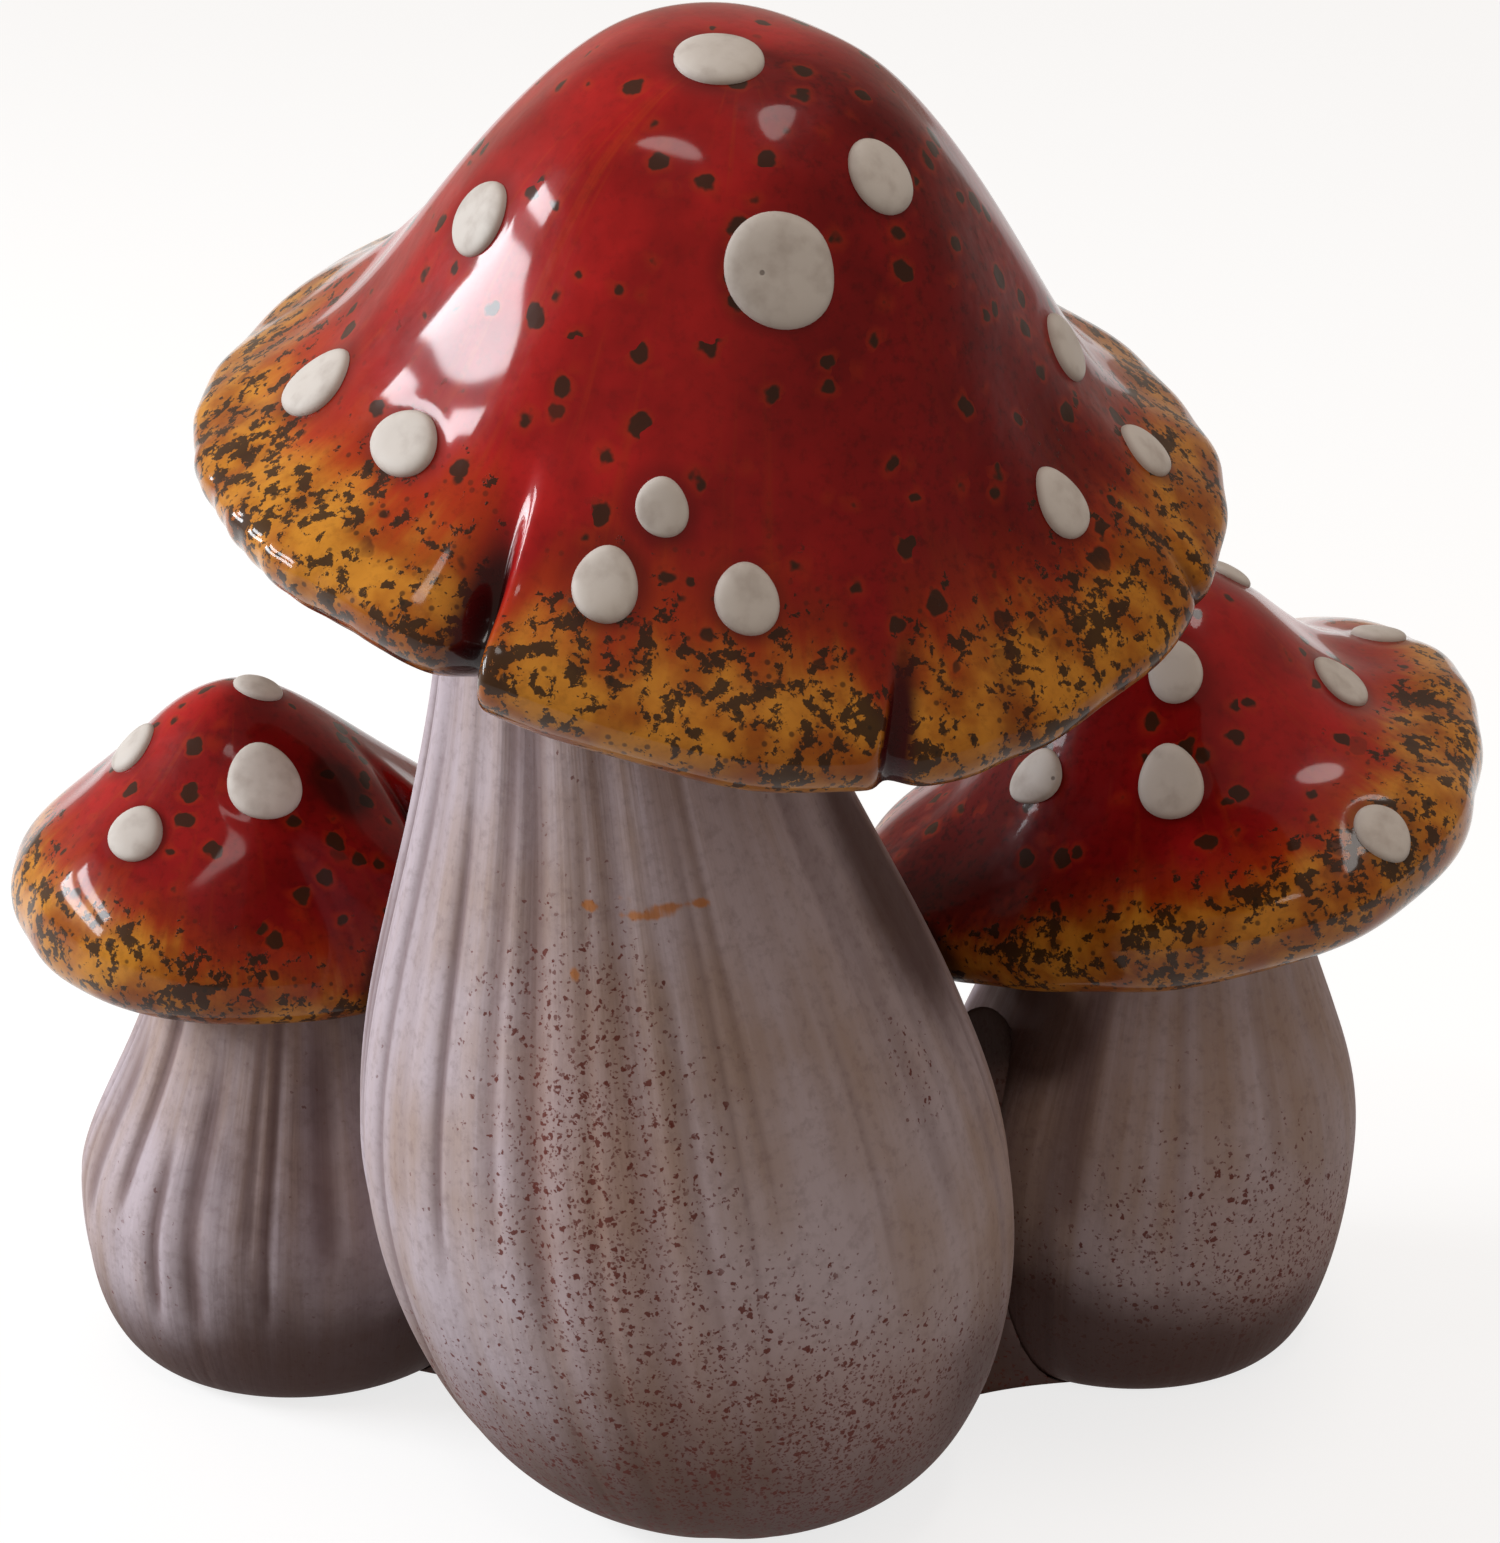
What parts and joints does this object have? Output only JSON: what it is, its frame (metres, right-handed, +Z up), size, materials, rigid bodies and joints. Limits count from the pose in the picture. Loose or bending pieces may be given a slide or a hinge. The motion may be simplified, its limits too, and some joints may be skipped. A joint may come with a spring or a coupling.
{
  "type": "mushroom garden statue",
  "caption": "Cluster of toadstools on fluted egg-shaped stems, with glossy red caps, raised white dots and ochre rims; a free-standing ceramic ornament for a garden or a shelf.",
  "frame": {"origin": "middle of the cluster's plan box, on the ground that the foot rings stand on", "axes": "+Z up, the front of the cluster faces -Y, +X to the viewer's right along the row of stems"},
  "size_m": [0.1794, 0.129, 0.1793],
  "materials": {
    "cap_glaze": "gloss",
    "stem_paint": "matte",
    "dot_slip": "satin"
  },
  "bodies": {
    "root": {"main_stem": "stem_paint", "left_stem": "stem_paint", "right_stem": "stem_paint", "left_lute": "stem_paint", "right_lute": "stem_paint", "main_cap": "cap_glaze", "left_cap": "cap_glaze", "right_cap": "cap_glaze", "main_cap_dot_01": "dot_slip", "main_cap_dot_02": "dot_slip", "main_cap_dot_03": "dot_slip", "main_cap_dot_04": "dot_slip", "main_cap_dot_05": "dot_slip", "main_cap_dot_06": "dot_slip", "main_cap_dot_07": "dot_slip", "main_cap_dot_08": "dot_slip", "main_cap_dot_09": "dot_slip", "main_cap_dot_10": "dot_slip", "main_cap_dot_11": "dot_slip", "main_cap_dot_12": "dot_slip", "main_cap_dot_13": "dot_slip", "main_cap_dot_14": "dot_slip", "main_cap_dot_15": "dot_slip", "main_cap_dot_16": "dot_slip", "main_cap_dot_17": "dot_slip", "main_cap_dot_18": "dot_slip", "main_cap_dot_19": "dot_slip", "main_cap_dot_20": "dot_slip", "left_cap_dot_01": "dot_slip", "left_cap_dot_02": "dot_slip", "left_cap_dot_03": "dot_slip", "left_cap_dot_04": "dot_slip", "left_cap_dot_05": "dot_slip", "left_cap_dot_06": "dot_slip", "left_cap_dot_07": "dot_slip", "right_cap_dot_01": "dot_slip", "right_cap_dot_02": "dot_slip", "right_cap_dot_03": "dot_slip", "right_cap_dot_04": "dot_slip", "right_cap_dot_05": "dot_slip", "right_cap_dot_06": "dot_slip", "right_cap_dot_07": "dot_slip", "right_cap_dot_08": "dot_slip", "right_cap_dot_09": "dot_slip", "right_cap_dot_10": "dot_slip", "right_cap_dot_11": "dot_slip"}
  },
  "joints": []
}
